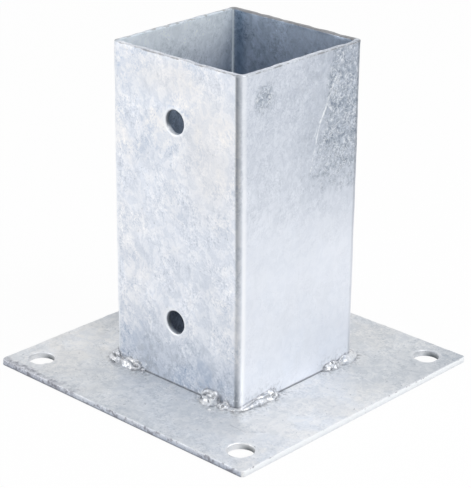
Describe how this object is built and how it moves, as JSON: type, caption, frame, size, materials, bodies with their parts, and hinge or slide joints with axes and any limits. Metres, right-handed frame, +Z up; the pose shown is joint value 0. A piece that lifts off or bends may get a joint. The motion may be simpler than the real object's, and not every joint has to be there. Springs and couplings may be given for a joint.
{
  "type": "timber post base",
  "caption": "Bolt-down steel base for a square timber post: an open-topped square sleeve with cross-bolt holes, stitch welded to a flat base plate with anchor holes, hot-dip galvanised.",
  "frame": {"origin": "centre of the base plate's underside", "axes": "+Z up along the sleeve, X and Y along the plate's sides, cross bolts along Y, front wall of the sleeve facing -Y"},
  "size_m": [0.15, 0.15, 0.153],
  "materials": {
    "plate_zinc": "hot-dip galvanised, matt, mottled pale grey",
    "sleeve_zinc": "hot-dip galvanised, satin, cloudy pale blue-grey",
    "weld_zinc": "lumpy weld metal under a bright zinc coat"
  },
  "bodies": {
    "root": {"base_plate": "plate_zinc", "post_socket": "sleeve_zinc", "weld_front_right": "weld_zinc", "weld_front_left": "weld_zinc", "weld_back_right": "weld_zinc", "weld_back_left": "weld_zinc"}
  },
  "joints": []
}
